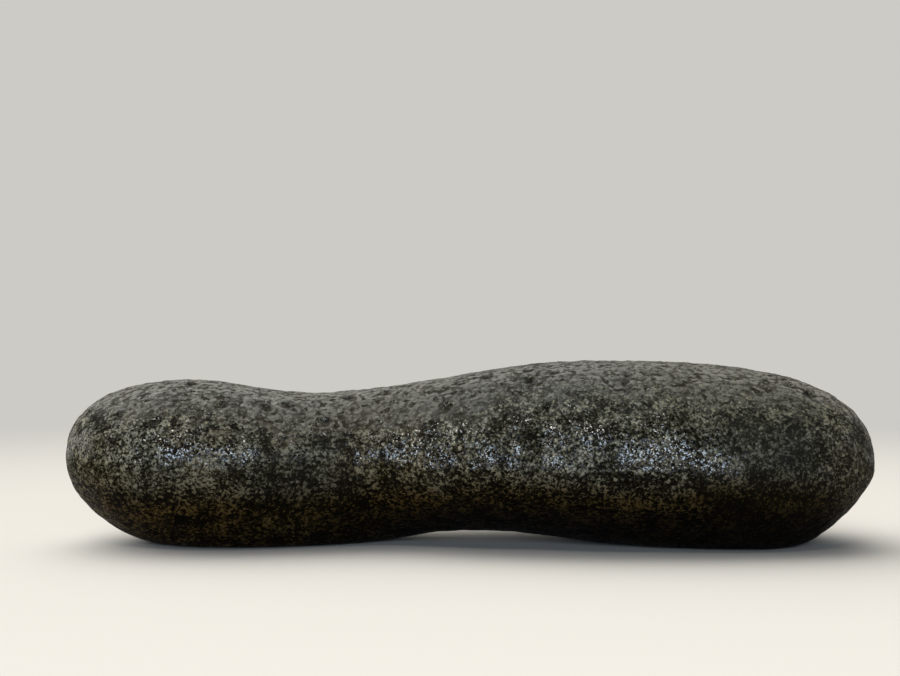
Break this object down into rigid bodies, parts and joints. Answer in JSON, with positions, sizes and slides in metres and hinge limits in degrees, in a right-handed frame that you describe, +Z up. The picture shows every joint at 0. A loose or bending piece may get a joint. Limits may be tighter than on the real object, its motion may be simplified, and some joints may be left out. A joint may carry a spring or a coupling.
{
  "type": "basalt massage stone",
  "caption": "Long water-worn cobble with a small rounded lobe, a soft waist and a broad flat-topped lobe, warmed and used for hot-stone massage.",
  "frame": {"origin": "on the table, under the middle of the stone's bounding box", "axes": "+X from the small lobe to the large lobe, -Y towards the hollow side that faces the camera, +Z up"},
  "size_m": [0.23, 0.0774, 0.0525],
  "materials": {
    "stone": "wet, water-worn, speckled grey"
  },
  "bodies": {
    "root": {"stone": "stone"}
  },
  "joints": []
}
